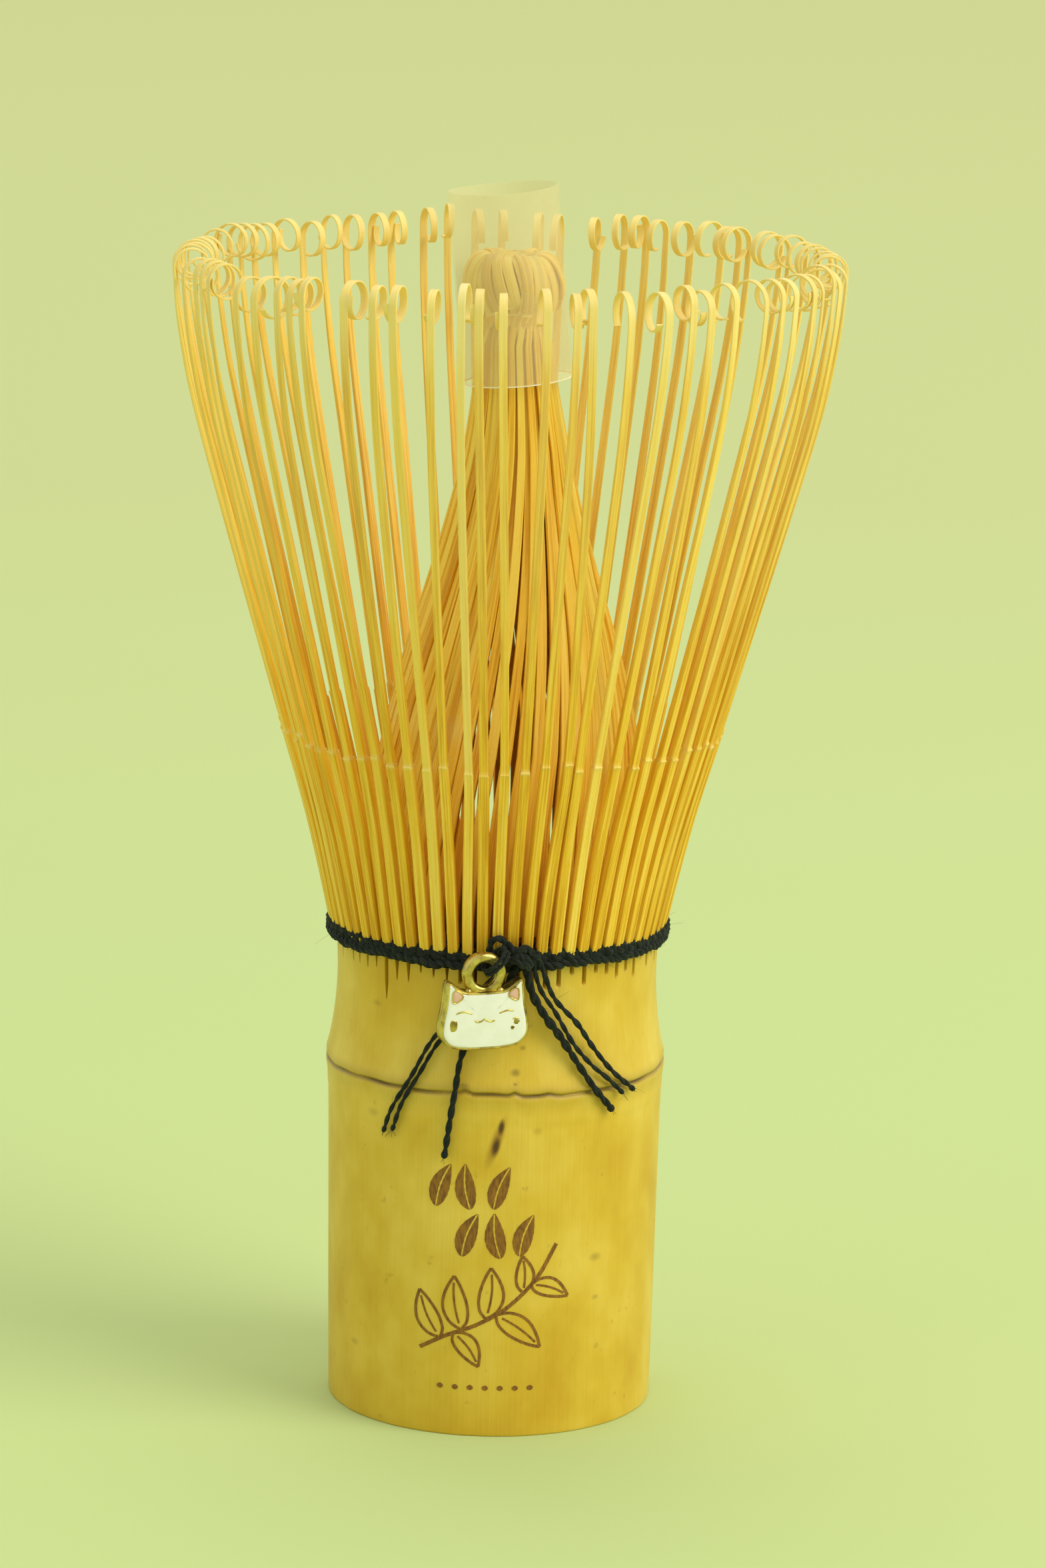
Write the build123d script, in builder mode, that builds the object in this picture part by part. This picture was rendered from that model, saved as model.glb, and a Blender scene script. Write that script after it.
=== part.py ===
"""Bamboo tea whisk with a lacing thread, a small cat charm and a film sleeve on its inner tips.

Millimetres, +Z up. The origin is the centre of the handle's foot, on the surface it stands on.
"""

from build123d import *
from math import cos, pi, radians, sin, tan
import os

# ---- driving dimensions ----
TINES = 72  # in each ring: 72 outer and 72 inner
TINES_PER_GROUP = 4  # outer tines that flex together
INNER_PER_GROUP = 12
PITCH = 360 / TINES

FOOT_R = 14.8
NODE_R = 15.38
NODE_Z = 31.9
WAIST_R = 14.5
WAIST_Z = 39.4
HANDLE_TOP = 45.0
HANDLE_TOP_R = 14.68
BORE_R = 11.4
BORE_DEPTH = 28.5
SEPTUM = 2.2
GROOVE = 0.18
EDGE = 0.4

SPLIT_WIDTH = 0.26
SPLIT_Z = 42.4
SPLIT_IN_R = 12.9

LACE_R = 15.2
LACE_THREAD = 0.84
LACE_Z = 43.79
INNER_LACE_R = 13.9
INNER_LACE_THREAD = 0.7

ROOT_Z = 45.3
ROOT_R = 15.6
STEP_Z = 62.4
STEP_R = 20.0
BEND_Z = 92.0
BEND_R = 28.3
CURL_Z = 104.0
RING_R = 29.95
CURL_R = 1.8
CURL_SWEEP = 292
ROOT_THICK = 1.0
STEP_THICK = 0.8
SHAVED_THICK = 0.5
TIP_THICK = 0.3
ROOT_WIDTH = 0.96
TIP_WIDTH = 0.76

INNER_ROOT_R = 13.3
INNER_ROOT_Z = 45.9  # clear of the handle's top when the bundle leans
INNER_THICK = 0.7
INNER_FILL = 0.8  # share of each tine's pitch that is bamboo
NECK_R = 3.45
NECK_Z = 98.3
BULB_R = 4.2
BULB_Z = 102.7
BULB_TOP = 105.5
BULB_THICK = 0.4

SLEEVE_R = 4.95
SLEEVE_WALL = 0.25
SLEEVE_LENGTH = 17.2
SLEEVE_FOOT = (0.8, 0, 94.0)
SLEEVE_LEAN = 5.5

CHARM_EYE = (-1.1, -18.0, 43.8)
CHARM_TURN = 18
CHARM_THICK = 1.6
EYE_R = 2.0
EYE_HOLE_R = 1.05
EYE_THICK = 1.1
HEAD_WIDTH = 8.1
HEAD_BOTTOM = -6.75
HEAD_CROWN = -1.45
EAR_TIP = -0.6
RIM = 0.35
ENAMEL_DEPTH = 0.35

CHARM_LOOP_R = 1.3
CHARM_THREAD = 0.5
LOOP_ANGLE = 45

KNOT_START = (1.3, -16.22, 45.05)
KNOT_LENGTH = 2.0
KNOT_R = 0.5
KNOT_WRAP = 0.32

# Each thread end: diameter and the route's points, from the knot down the handle.
THREAD_ENDS = [
    (0.42, [(1.05, -16.1, 44.6), (-1.6, -15.8, 41.4), (-5.3, -14.8, 37.2), (-7.3, -13.9, 33.4),
            (-9.1, -12.9, 30.0), (-9.8, -12.2, 27.7)]),
    (0.42, [(1.55, -16.1, 44.6), (-0.9, -15.7, 41.2), (-4.7, -14.7, 37.0), (-6.7, -14.2, 33.5),
            (-8.2, -13.5, 30.6), (-9.0, -12.8, 28.0)]),
    (0.6, [(2.05, -16.1, 44.6), (0.3, -15.5, 41.0), (-2.6, -15.25, 36.5), (-3.5, -15.5, 32.0),
           (-4.3, -15.1, 26.2)]),
    (0.65, [(2.6, -16.05, 44.7), (3.1, -15.8, 41.9), (4.3, -15.2, 39.5), (5.8, -14.5, 37.3),
            (7.6, -13.7, 34.4), (9.1, -13.0, 32.1), (10.6, -11.8, 30.0)]),
    (0.45, [(3.15, -16.05, 44.9), (3.9, -15.6, 42.0), (5.4, -14.9, 39.5), (7.0, -14.2, 36.6),
            (8.7, -13.2, 34.4), (10.1, -12.2, 33.0), (11.5, -11.1, 31.4)]),
    (0.5, [(3.55, -16.0, 45.4), (4.4, -15.6, 42.9), (5.3, -15.0, 40.8), (7.3, -14.0, 38.4),
           (8.7, -13.0, 36.1), (10.5, -11.8, 33.6), (12.5, -9.9, 31.4)]),
]

os.makedirs("parts", exist_ok=True)


def write(part, name):
    part.label = name
    export_step(part, f"parts/{name}.step")


# ---- handle: one hollow length of culm, with the septum inside its node ----
with BuildPart() as handle:
    with BuildSketch(Plane.XZ):
        with BuildLine():
            Polyline((BORE_R, 0), (FOOT_R - EDGE, 0), (FOOT_R, EDGE))
            Spline((FOOT_R, EDGE), (15.07, 20), (NODE_R, NODE_Z - 0.5), tangents=[(0, 1), (0.01, 1)])
            Polyline((NODE_R, NODE_Z - 0.5), (NODE_R - GROOVE, NODE_Z), (NODE_R - 0.05, NODE_Z + 0.5))
            Spline((NODE_R - 0.05, NODE_Z + 0.5), (WAIST_R, WAIST_Z), (HANDLE_TOP_R, HANDLE_TOP),
                   tangents=[(-0.35, 1), (0.1, 1)])
            Polyline((HANDLE_TOP_R, HANDLE_TOP), (BORE_R, HANDLE_TOP), (BORE_R, BORE_DEPTH + SEPTUM),
                     (0, BORE_DEPTH + SEPTUM), (0, BORE_DEPTH), (BORE_R, BORE_DEPTH), (BORE_R, 0))
        make_face()
    revolve(axis=Axis.Z)
    with BuildSketch(Plane.XY.offset(SPLIT_Z)):
        with PolarLocations((SPLIT_IN_R + HANDLE_TOP_R + 1) / 2, TINES, PITCH / 2):
            Rectangle(HANDLE_TOP_R + 1 - SPLIT_IN_R, SPLIT_WIDTH)
    extrude(amount=HANDLE_TOP - SPLIT_Z + 1, mode=Mode.SUBTRACT)
write(handle.part, "bamboo_handle")


# ---- outer tines: a side profile of arcs and runs, cut to a tapering width ----
flare = (BEND_R - STEP_R) / (BEND_Z - STEP_Z)
root_flare = 2 * (STEP_R - ROOT_R) / (STEP_Z - ROOT_Z) - flare

with BuildPart(mode=Mode.PRIVATE) as outer_tine:
    curl_x = RING_R - CURL_R
    inner_curl_r = CURL_R - TIP_THICK
    end_x = cos(radians(CURL_SWEEP))
    end_z = sin(radians(CURL_SWEEP))
    with BuildSketch(Plane.XZ):
        with BuildLine():
            Line((ROOT_R - ROOT_THICK, ROOT_Z), (ROOT_R, ROOT_Z))
            TangentArc((ROOT_R, ROOT_Z), (STEP_R, STEP_Z), tangent=(root_flare, 1))
            Line((STEP_R, STEP_Z), (BEND_R, BEND_Z))
            TangentArc((BEND_R, BEND_Z), (RING_R, CURL_Z), tangent=(flare, 1))
            CenterArc((curl_x, CURL_Z), CURL_R, 0, CURL_SWEEP)
            Line((curl_x + CURL_R * end_x, CURL_Z + CURL_R * end_z),
                 (curl_x + inner_curl_r * end_x, CURL_Z + inner_curl_r * end_z))
            CenterArc((curl_x, CURL_Z), inner_curl_r, 0, CURL_SWEEP)
            TangentArc((BEND_R - SHAVED_THICK, BEND_Z), (RING_R - TIP_THICK, CURL_Z), tangent=(flare, 1))
            Line((BEND_R - SHAVED_THICK, BEND_Z), (STEP_R - STEP_THICK, STEP_Z))
            Line((STEP_R - STEP_THICK, STEP_Z), (ROOT_R - ROOT_THICK, ROOT_Z))
        make_face()
    extrude(amount=ROOT_WIDTH, both=True)
    with BuildSketch(Plane.YZ):
        Polygon(
            (-ROOT_WIDTH / 2, ROOT_Z - 1), (ROOT_WIDTH / 2, ROOT_Z - 1),
            (TIP_WIDTH / 2, CURL_Z + 3), (-TIP_WIDTH / 2, CURL_Z + 3), align=None,
        )
    extrude(amount=RING_R + 5, mode=Mode.INTERSECT)

groups = TINES // TINES_PER_GROUP
for group in range(groups):
    start = group * PITCH * TINES_PER_GROUP
    with BuildPart() as outer_group:
        with PolarLocations(0, TINES_PER_GROUP, start, (TINES_PER_GROUP - 1) * PITCH, endpoint=True):
            add(outer_tine.part)
    write(outer_group.part, f"outer_tines_{group + 1:02d}")


# ---- inner tines: thin sectors of a cone that ends in a curled bulb ----
inner_outside = [(INNER_ROOT_R, INNER_ROOT_Z), (12.0, 57.5), (10.1, 68.0), (7.5, 76.7), (4.95, 87.0),
                 (3.75, 94.0), (NECK_R, NECK_Z)]
inner_inside = [(r - INNER_THICK, z) for r, z in inner_outside]
sector = PITCH * INNER_FILL

with BuildPart(mode=Mode.PRIVATE) as inner_tine:
    with BuildSketch(Plane.XZ):
        with BuildLine():
            Line(inner_inside[0], inner_outside[0])
            Polyline(*inner_outside)
            ThreePointArc((NECK_R, NECK_Z), (NECK_R + 0.3, NECK_Z + 1.6), (BULB_R, BULB_Z))
            ThreePointArc((BULB_R, BULB_Z), (BULB_R - 0.75, BULB_TOP - 0.7), (BULB_R - 1.9, BULB_TOP))
            Line((BULB_R - 1.9, BULB_TOP), (BULB_R - 1.9, BULB_TOP - BULB_THICK))
            ThreePointArc((BULB_R - 1.9, BULB_TOP - BULB_THICK), (BULB_R - 1.1, BULB_TOP - 1.1),
                          (BULB_R - BULB_THICK, BULB_Z))
            ThreePointArc((BULB_R - BULB_THICK, BULB_Z), (NECK_R - 0.1, NECK_Z + 1.7), inner_inside[-1])
            Polyline(*reversed(inner_inside))
        make_face()
    revolve(axis=Axis.Z, revolution_arc=sector)

for group in range(TINES // INNER_PER_GROUP):
    start = group * PITCH * INNER_PER_GROUP
    with BuildPart() as inner_group:
        with PolarLocations(0, INNER_PER_GROUP, start, (INNER_PER_GROUP - 1) * PITCH, endpoint=True):
            add(inner_tine.part)
    write(inner_group.part, f"inner_tines_{group + 1}")


# ---- lacing: two wraps outside the tines' roots and one between the two rings ----
with BuildPart() as lacing_outer:
    for wrap in range(2):
        with BuildSketch(Plane.XZ):
            with Locations((LACE_R, LACE_Z + wrap * (LACE_THREAD + 0.01))):
                Circle(LACE_THREAD / 2)
        revolve(axis=Axis.Z)
write(lacing_outer.part, "lacing_outer")

with BuildPart() as lacing_inner:
    with BuildSketch(Plane.XZ):
        with Locations((INNER_LACE_R, HANDLE_TOP + INNER_LACE_THREAD / 2)):
            Circle(INNER_LACE_THREAD / 2)
    revolve(axis=Axis.Z)
write(lacing_inner.part, "lacing_inner")


# ---- knot, in front, where the lacing ends: a short bar with two wraps ----
knot_plane = Plane(origin=KNOT_START, x_dir=(0, 1, 0), z_dir=(1, 0, 0))
with BuildPart() as knot:
    with BuildSketch(knot_plane):
        Circle(KNOT_R)
    extrude(amount=KNOT_LENGTH)
    fillet(knot.edges(), KNOT_R * 0.6)
    for place in (0.3, 0.7):
        with Locations(knot_plane.offset(KNOT_LENGTH * place)):
            Torus(KNOT_R, KNOT_WRAP / 2)
write(knot.part, "thread_knot")


# ---- thread ends: straight runs joined by the largest arcs that fit ----
def corner_radii(points):
    """0.45 of the shorter run at each corner, over the tangent of half its turn."""
    radii = []
    for before, corner, after in zip(points, points[1:], points[2:]):
        run_in = Vector(*corner) - Vector(*before)
        run_out = Vector(*after) - Vector(*corner)
        turn = run_in.get_angle(run_out)
        radii.append(0.45 * min(run_in.length, run_out.length) / tan(radians(turn / 2)))
    return radii


for number, (diameter, points) in enumerate(THREAD_ENDS, 1):
    radii = corner_radii(points)
    with BuildPart() as thread_end:
        with BuildLine():
            route = FilletPolyline(*points, radius=radii)
        with BuildSketch(Plane(origin=route @ 0, z_dir=route % 0)):
            Circle(diameter / 2)
        sweep()
    full_volume = route.length * pi * diameter**2 / 4
    ratio = thread_end.part.volume / full_volume
    print(f"thread_end_{number}: length {route.length:.1f}, volume {ratio:.4f} of section times length,")
    print("    radii", [round(radius, 1) for radius in radii])
    with thread_end:
        add(knot.part, mode=Mode.SUBTRACT)
    write(thread_end.part, f"thread_end_{number}")


# ---- charm: a cast cat's head with a hanging eye, turned a little about Z ----
turn = radians(CHARM_TURN)
charm_plane = Plane(origin=CHARM_EYE, x_dir=(cos(turn), sin(turn), 0), z_dir=(sin(turn), -cos(turn), 0))
half = HEAD_WIDTH / 2


def head_outline():
    """Rounded head with two ears, in the charm's own plane, with its eye's centre at (0, 0)."""
    right = [
        (half - 1.6, HEAD_BOTTOM), (half - 0.4, HEAD_BOTTOM + 0.55),
        (half, HEAD_BOTTOM + 1.5), (half - 0.3, HEAD_BOTTOM + 3.2),
        (half - 0.7, EAR_TIP), (half - 1.15, EAR_TIP), (half - 2.2, HEAD_CROWN),
    ]
    left = [(-x, y) for x, y in reversed(right)]
    Polygon(*right, *left, align=None)


def ear(side):
    """Inner ear, a small triangle; side is -1 for the left ear and 1 for the right."""
    x = side * (half - 1.3)
    y = HEAD_CROWN - 0.55
    Polygon((x - 0.4, y - 0.45), (x + 0.4, y - 0.45), (x + side * 0.12, y + 0.4), align=None)


front = CHARM_THICK / 2
with BuildPart() as charm_base:
    with BuildSketch(charm_plane.offset(-front)):
        head_outline()
    extrude(amount=CHARM_THICK)
    fillet(charm_base.edges().filter_by(Axis(CHARM_EYE, charm_plane.z_dir)), 0.22)
    with BuildSketch(charm_plane.offset(-EYE_THICK / 2)):
        Circle(EYE_R)
    extrude(amount=EYE_THICK)
    with BuildSketch(charm_plane.offset(-CHARM_THICK)):
        Circle(EYE_HOLE_R)
    extrude(amount=2 * CHARM_THICK, mode=Mode.SUBTRACT)
    with BuildSketch(charm_plane.offset(front - ENAMEL_DEPTH)):
        head_outline()
        offset(amount=-RIM, kind=Kind.INTERSECTION)
    extrude(amount=ENAMEL_DEPTH, mode=Mode.SUBTRACT)
write(charm_base.part, "charm_base")

with BuildPart() as charm_face:
    with BuildSketch(charm_plane.offset(front - ENAMEL_DEPTH)):
        head_outline()
        offset(amount=-RIM, kind=Kind.INTERSECTION)
    extrude(amount=ENAMEL_DEPTH)
    with BuildSketch(charm_plane.offset(front - ENAMEL_DEPTH)):
        ear(-1)
        ear(1)
    extrude(amount=ENAMEL_DEPTH, mode=Mode.SUBTRACT)
write(charm_face.part, "charm_face")

for side, name in ((-1, "charm_ear_left"), (1, "charm_ear_right")):
    with BuildPart() as charm_ear:
        with BuildSketch(charm_plane.offset(front - ENAMEL_DEPTH)):
            ear(side)
        extrude(amount=ENAMEL_DEPTH)
    write(charm_ear.part, name)


# ---- charm thread: a closed loop that links the eye's rim ----
rim_middle = (EYE_R + EYE_HOLE_R) / 2
loop_x = rim_middle * cos(radians(LOOP_ANGLE))
loop_y = rim_middle * sin(radians(LOOP_ANGLE))
loop_centre = charm_plane.from_local_coords(Vector(loop_x, loop_y, 0))
loop_normal = charm_plane.from_local_coords(Vector(loop_y, -loop_x, 0)) - charm_plane.origin
with BuildPart() as charm_thread:
    with Locations(Plane(origin=loop_centre, z_dir=loop_normal)):
        Torus(CHARM_LOOP_R, CHARM_THREAD / 2)
write(charm_thread.part, "charm_thread")


# ---- film sleeve: a thin open tube that leans a little, round the inner tips ----
lean = radians(SLEEVE_LEAN)
sleeve_plane = Plane(origin=SLEEVE_FOOT, x_dir=(cos(lean), 0, sin(lean)), z_dir=(-sin(lean), 0, cos(lean)))
with BuildPart() as sleeve:
    with BuildSketch(sleeve_plane):
        Circle(SLEEVE_R)
        Circle(SLEEVE_R - SLEEVE_WALL, mode=Mode.SUBTRACT)
    extrude(amount=SLEEVE_LENGTH)
write(sleeve.part, "film_sleeve")
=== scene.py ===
"""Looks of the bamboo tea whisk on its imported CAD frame. Shapes are in millimetres until Shape.piece."""
import math

import bmesh
import bpy
import numpy as np
from mathutils import Matrix, Vector


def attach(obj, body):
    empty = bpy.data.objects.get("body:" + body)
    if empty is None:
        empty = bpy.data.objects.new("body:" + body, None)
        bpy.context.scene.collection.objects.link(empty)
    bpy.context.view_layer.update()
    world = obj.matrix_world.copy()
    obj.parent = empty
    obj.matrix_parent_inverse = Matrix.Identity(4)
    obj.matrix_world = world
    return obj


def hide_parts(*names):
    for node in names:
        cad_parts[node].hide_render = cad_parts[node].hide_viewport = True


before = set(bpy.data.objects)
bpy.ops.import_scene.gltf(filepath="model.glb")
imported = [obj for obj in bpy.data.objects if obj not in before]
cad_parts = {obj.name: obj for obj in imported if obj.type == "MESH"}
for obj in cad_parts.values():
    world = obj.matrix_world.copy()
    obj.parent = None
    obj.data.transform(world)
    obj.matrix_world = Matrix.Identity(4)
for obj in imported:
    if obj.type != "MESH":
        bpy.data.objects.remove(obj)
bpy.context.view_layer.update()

MM = 0.001
TINES = 72
PITCH = 360 / TINES
FRONT = 270  # azimuth of -Y, in degrees anticlockwise from +X
HANDLE_TOP = 45.0
SHARP_ANGLE = math.radians(38)
UP = np.array([0, 0, 1.0])
CURVE_STEPS = 24  # between two points of a smooth curve
PLIES = 2
PLY_SIZE = 0.32  # a ply's radius, as a share of the thread's diameter
PLY_OFFSET = 0.185  # how far its middle is from the thread's, as such a share
HAIR_R = 0.012
rng = np.random.default_rng(72)


# ---- curves and meshes ----
def circle(count):
    return np.linspace(0, 2 * math.pi, count, endpoint=False)


def run_along(path):
    """The length of path up to each of its points."""
    return np.r_[0, np.cumsum(np.linalg.norm(np.diff(path, axis=0), axis=1))]


def smooth_curve(points, count):
    """Catmull-Rom curve through the points, as count points evenly spaced along it."""
    p = np.asarray(points, float)
    p = np.vstack([2 * p[0] - p[1], p, 2 * p[-1] - p[-2]])
    t = np.linspace(0, 1, CURVE_STEPS, endpoint=False)[:, None]
    parts = []
    for a, b, c, d in zip(p, p[1:], p[2:], p[3:]):
        parts.append(0.5 * (2 * b + (c - a) * t + (2 * a - 5 * b + 4 * c - d) * t**2
                            + (3 * b - a - 3 * c + d) * t**3))
    dense = np.vstack([*parts, p[-2:-1]])
    run = run_along(dense)
    at = np.linspace(0, run[-1], count)
    return np.stack([np.interp(at, run, dense[:, k]) for k in range(dense.shape[1])], 1)


def smoothstep(x, low, high):
    t = np.clip((np.asarray(x, float) - low) / (high - low), 0, 1)
    return t * t * (3 - 2 * t)


def bell(x, middle, width):
    return np.exp(-((np.asarray(x, float) - middle) / width) ** 2)


def around(azimuth):
    """Outward and sideways unit vectors at azimuths in degrees."""
    a = np.radians(np.atleast_1d(azimuth).astype(float))
    flat = np.zeros_like(a)
    return np.stack([np.cos(a), np.sin(a), flat], 1), np.stack([-np.sin(a), np.cos(a), flat], 1)


def unit(v):
    return v / np.linalg.norm(v, axis=-1, keepdims=True)


def grid_faces(rows, columns, closed=False):
    """Quads round a stack of rings. closed joins the last ring to the first, otherwise they are capped."""
    i = np.arange(rows if closed else rows - 1)[:, None]
    j = np.arange(columns)[None]
    k, n = (i + 1) % rows, (j + 1) % columns
    quads = np.stack([i * columns + j, i * columns + n, k * columns + n, k * columns + j], -1)
    faces = quads.reshape(-1, 4).tolist()
    if not closed:
        faces.append(list(range(columns))[::-1])
        faces.append(list(range((rows - 1) * columns, rows * columns)))
    return faces


class Shape:
    """Meshes that make one piece, with a grain coordinate and two tone values at each point."""

    def __init__(self):
        self.verts, self.grain, self.tone, self.pale = [], [], [], []
        self.faces, self.count = [], 0

    def add(self, verts, faces, grain=None, tone=0.0, pale=0.0):
        verts = np.asarray(verts, float).reshape(-1, 3)
        self.verts.append(verts)
        self.grain.append(verts if grain is None else np.asarray(grain, float).reshape(-1, 3))
        for store, value in ((self.tone, tone), (self.pale, pale)):
            store.append(np.broadcast_to(np.asarray(value, float).reshape(-1), (len(verts),))
                         if np.size(value) in (1, len(verts)) else np.repeat(value, len(verts) // len(value)))
        self.faces += [[k + self.count for k in face] for face in faces]
        self.count += len(verts)

    def piece(self, name, material, body, replaces=()):
        mesh = bpy.data.meshes.new(name)
        mesh.from_pydata((np.vstack(self.verts) * MM).tolist(), [], self.faces)
        for key, kind, field, values in (
            ("grain", "FLOAT_VECTOR", "vector", np.vstack(self.grain)),
            ("tone", "FLOAT", "value", np.concatenate(self.tone)),
            ("pale", "FLOAT", "value", np.concatenate(self.pale)),
        ):
            layer = mesh.attributes.new(key, kind, "POINT")
            layer.data.foreach_set(field, values.astype(np.float32).ravel())
        work = bmesh.new()
        work.from_mesh(mesh)
        bmesh.ops.recalc_face_normals(work, faces=work.faces)
        work.to_mesh(mesh)
        work.free()
        mesh.shade_smooth()
        mesh.set_sharp_from_angle(angle=SHARP_ANGLE)
        obj = bpy.data.objects.new(name, mesh)
        bpy.context.scene.collection.objects.link(obj)
        mesh.materials.append(material)
        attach(obj, body)
        if replaces:
            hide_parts(*replaces)
        return obj


def tube(shape, path, radius, sides=8, reference=None, closed=False, tone=0.0):
    """A round tube along path. reference gives a vector at each point that the ring starts from."""
    path = np.asarray(path, float)
    if closed:
        tangent = unit(np.roll(path, -1, 0) - np.roll(path, 1, 0))
    else:
        tangent = unit(np.gradient(path, axis=0))
    if reference is None:
        normal = np.zeros_like(path)
        normal[0] = unit(np.cross(tangent[0], (0.31, 0.2, 0.93)))
        for k in range(1, len(path)):
            n = normal[k - 1] - tangent[k] * (normal[k - 1] @ tangent[k])
            normal[k] = n / np.linalg.norm(n)
    else:
        along = np.sum(reference * tangent, 1, keepdims=True)
        normal = unit(reference - tangent * along)
    side = np.cross(tangent, normal)
    a = circle(sides)
    r = np.broadcast_to(np.asarray(radius, float), (len(path),))[:, None, None]
    ring = path[:, None] + r * (np.cos(a)[None, :, None] * normal[:, None]
                                + np.sin(a)[None, :, None] * side[:, None])
    run = run_along(path)
    grain = np.stack(np.broadcast_arrays(np.cos(a) * 0.3, np.sin(a) * 0.3, run[:, None]), -1)
    shape.add(ring, grid_faces(len(path), sides, closed), grain, tone)


def plied(shape, path, thread, turns_per_mm, sides, phase, closed=False, reference=None):
    """Twisted plies along path: thread is the whole cord's diameter."""
    path = np.asarray(path, float)
    if closed:
        tangent = unit(np.roll(path, -1, 0) - np.roll(path, 1, 0))
        steps = np.linalg.norm(np.roll(path, -1, 0) - path, axis=1)
        run = np.r_[0, np.cumsum(steps)][:-1]
        total = steps.sum()
        rate = round(total * turns_per_mm) / total
    else:
        tangent = unit(np.gradient(path, axis=0))
        run = run_along(path)
        rate = turns_per_mm
    if reference is None:
        reference = np.broadcast_to((0.0, -1.0, 0.13), path.shape)
    along = np.sum(reference * tangent, 1, keepdims=True)
    normal = unit(reference - tangent * along)
    side = np.cross(tangent, normal)
    ply = thread * PLY_SIZE
    offset = np.broadcast_to(thread * PLY_OFFSET, run.shape)[:, None]
    lumps = 1 + 0.08 * np.sin(run * 2.3 + phase) + 0.05 * np.sin(run * 5.1 + 2 * phase)
    lumps = lumps + 0.04 * np.sin(run * 0.9)
    for k in range(PLIES):
        a = 2 * math.pi * (run * rate + k / PLIES) + phase
        centre = path + offset * (np.cos(a)[:, None] * normal + np.sin(a)[:, None] * side)
        tube(shape, centre, ply * lumps, sides, normal, closed, tone=0.12 * math.sin(phase + k))


def hairs(shape, anchors, count, length=(0.4, 1.6)):
    """Loose fibres that stand off a thread."""
    for _ in range(count):
        start = anchors[rng.integers(len(anchors))]
        outward = unit(np.array([start[0], start[1], 0.0]))
        aim = unit(outward * 0.5 + rng.normal(0, 0.8, 3))
        bend = rng.normal(0, 0.5, 3)
        size = rng.uniform(*length)
        s = np.linspace(0, 1, 6)[:, None]
        path = start + size * (aim * s + bend * s**2 * 0.7)
        flat = np.hypot(path[:, 0], path[:, 1])
        keep = np.maximum(flat, np.hypot(start[0], start[1]) - 0.12)
        path[:, :2] *= (keep / flat)[:, None]
        tube(shape, path, HAIR_R * np.linspace(1, 0.5, 6), 3)


# ---- materials ----
def srgb(r, g, b):
    c = np.array([r, g, b]) / 255
    lin = np.where(c <= 0.04045, c / 12.92, ((c + 0.055) / 1.055) ** 2.4)
    return (*lin.tolist(), 1.0)


class Nodes:
    """Short calls that build a material's nodes."""

    def __init__(self, name):
        self.material = bpy.data.materials.new(name)
        self.material.use_nodes = True
        self.tree = self.material.node_tree
        self.shader = self.tree.nodes["Principled BSDF"]

    def new(self, kind, **values):
        node = self.tree.nodes.new(kind)
        for key, value in values.items():
            setattr(node, key, value)
        return node

    def link(self, source, target):
        self.tree.links.new(source, target)

    def attribute(self, name, vector=False):
        node = self.new("ShaderNodeAttribute", attribute_name=name)
        return node.outputs["Vector" if vector else "Fac"]

    def place(self):
        return self.new("ShaderNodeTexCoord").outputs["Object"]

    def stretch(self, vector, scale):
        node = self.new("ShaderNodeMapping")
        node.inputs["Scale"].default_value = scale
        self.link(vector, node.inputs["Vector"])
        return node.outputs["Vector"]

    def noise(self, vector, scale=1.0, detail=3.0, rough=0.55):
        node = self.new("ShaderNodeTexNoise")
        for key, value in (("Scale", scale), ("Detail", detail), ("Roughness", rough)):
            node.inputs[key].default_value = value
        self.link(vector, node.inputs["Vector"])
        return node.outputs["Fac"]

    def ramp(self, source, *stops):
        node = self.new("ShaderNodeValToRGB")
        elements = node.color_ramp.elements
        while len(elements) < len(stops):
            elements.new(0.5)
        for element, (position, colour) in zip(elements, stops):
            element.position = position
            element.color = colour if not np.isscalar(colour) else (colour, colour, colour, 1)
        self.link(source, node.inputs["Fac"])
        return node.outputs["Color"]

    def mix(self, share, a, b):
        node = self.new("ShaderNodeMix", data_type="RGBA")
        for socket, value in ((node.inputs[0], share), (node.inputs[6], a), (node.inputs[7], b)):
            if isinstance(value, bpy.types.NodeSocket):
                self.link(value, socket)
            else:
                socket.default_value = value
        return node.outputs[2]

    def math(self, operation, *values, clamp=False):
        node = self.new("ShaderNodeMath", operation=operation, use_clamp=clamp)
        for socket, value in zip(node.inputs, values):
            if isinstance(value, bpy.types.NodeSocket):
                self.link(value, socket)
            else:
                socket.default_value = value
        return node.outputs[0]

    def plus(self, a, b, clamp=False):
        return self.math("ADD", a, b, clamp=clamp)

    def times(self, a, b):
        return self.math("MULTIPLY", a, b)

    def bump(self, height, strength, distance):
        node = self.new("ShaderNodeBump")
        node.inputs["Strength"].default_value = strength
        node.inputs["Distance"].default_value = distance
        self.link(height, node.inputs["Height"])
        self.link(node.outputs["Normal"], self.shader.inputs["Normal"])

    def set(self, **values):
        for key, value in values.items():
            socket = self.shader.inputs[key.replace("_", " ")]
            if isinstance(value, bpy.types.NodeSocket):
                self.link(value, socket)
            else:
                socket.default_value = value
        return self.material


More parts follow.
